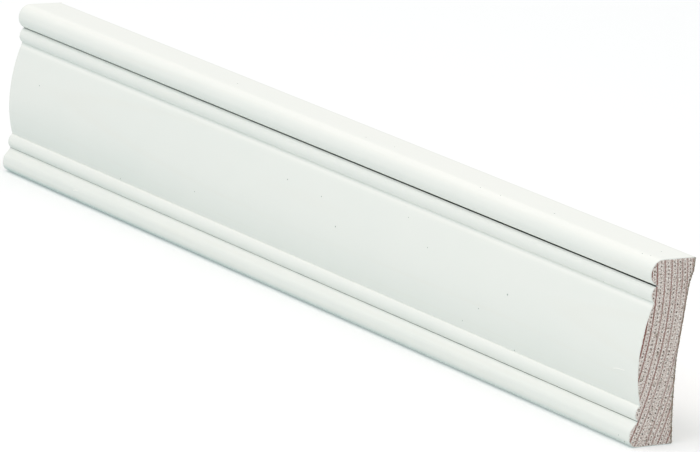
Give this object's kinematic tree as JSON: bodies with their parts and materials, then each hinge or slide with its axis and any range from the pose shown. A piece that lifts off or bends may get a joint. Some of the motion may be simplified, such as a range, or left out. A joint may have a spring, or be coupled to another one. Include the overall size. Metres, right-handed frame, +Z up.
{
  "type": "cover strip moulding",
  "caption": "Straight painted pine cover strip: round nose and toe edges, a narrow bead in each quirk, a wide bowed belly and a shallow hollow back, square-cut ends.",
  "frame": {"origin": "middle of the underside's bounding box: halfway along the length, halfway through the thickness, at the lower edge", "axes": "+X along the length, -Y out of the moulded face, +Y towards the wall behind, +Z up across the width, towards the nose"},
  "size_m": [0.4, 0.021, 0.07],
  "materials": {
    "white_paint": "satin white paint over planed pine",
    "bare_pine": "bare sawn end grain and planed back"
  },
  "bodies": {
    "root": {"cover_strip_moulding": "white_paint"}
  },
  "joints": []
}
